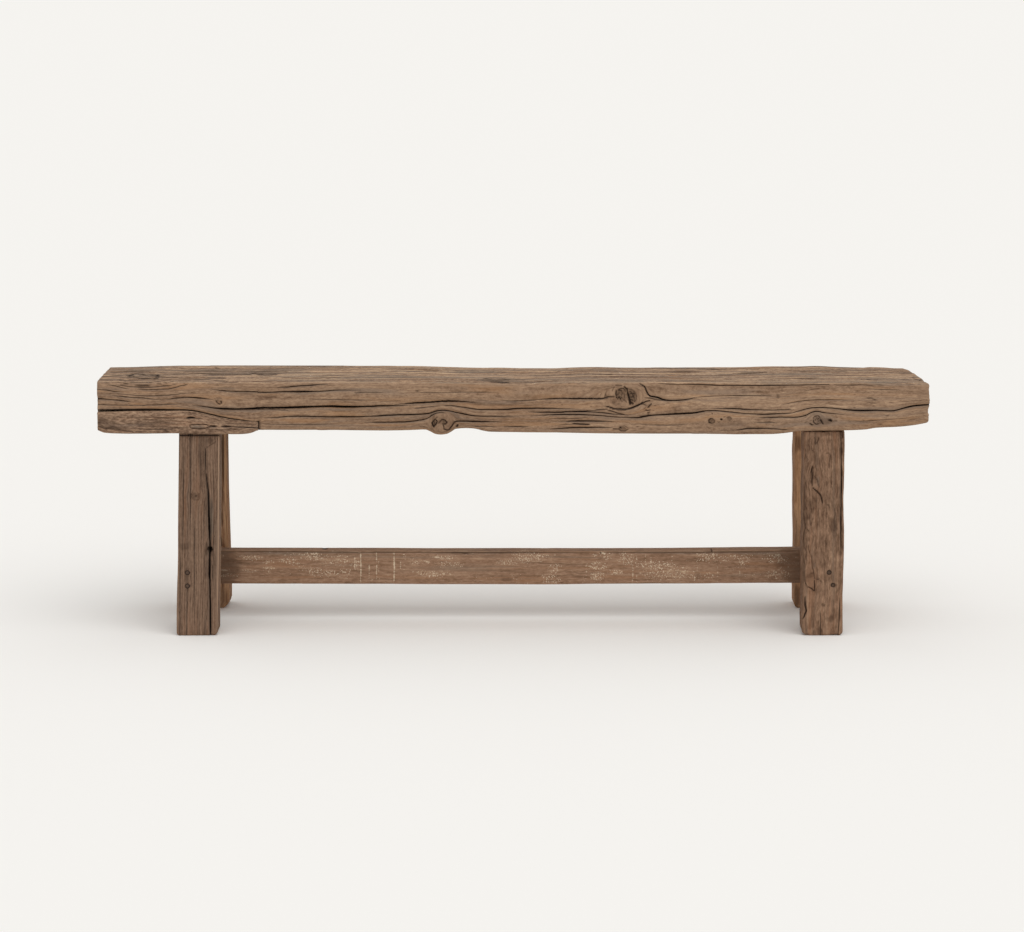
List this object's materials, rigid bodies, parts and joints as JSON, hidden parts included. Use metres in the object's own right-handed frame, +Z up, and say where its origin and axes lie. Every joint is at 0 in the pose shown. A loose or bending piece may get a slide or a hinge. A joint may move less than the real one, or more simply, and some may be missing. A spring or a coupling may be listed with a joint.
{
  "type": "wooden bench",
  "caption": "Long rustic bench with a hewn, cracked seat beam on splayed square legs, tied by cross rails and a low stretcher.",
  "frame": {"origin": "on the floor, under the middle of the bench", "axes": "+X along the seat to the right as seen from the front, +Y to the back, +Z up"},
  "size_m": [1.557, 0.329, 0.4724],
  "materials": {
    "seat_timber": "weathered, rough",
    "block_timber": "weathered, rough",
    "leg_timber": "weathered, rough",
    "rail_timber": "sawn, weathered",
    "stretcher_timber": "sawn, chalky marks",
    "peg_timber": "dark end grain",
    "wedge_timber": "split"
  },
  "bodies": {
    "root": {"seat_beam": "seat_timber", "repair_block": "block_timber", "front_left_leg": "leg_timber", "front_right_leg": "leg_timber", "rear_left_leg": "leg_timber", "rear_right_leg": "leg_timber", "front_left_tenon_wedge": "wedge_timber", "front_right_tenon_wedge": "wedge_timber", "rear_left_tenon_wedge": "wedge_timber", "rear_right_tenon_wedge": "wedge_timber", "left_cross_rail": "rail_timber", "right_cross_rail": "rail_timber", "long_stretcher": "stretcher_timber", "left_stretcher_peg": "peg_timber", "right_stretcher_peg": "peg_timber", "front_left_upper_peg": "peg_timber", "front_left_lower_peg": "peg_timber", "front_right_upper_peg": "peg_timber", "front_right_lower_peg": "peg_timber", "rear_left_upper_peg": "peg_timber", "rear_left_lower_peg": "peg_timber", "rear_right_upper_peg": "peg_timber", "rear_right_lower_peg": "peg_timber"}
  },
  "joints": []
}
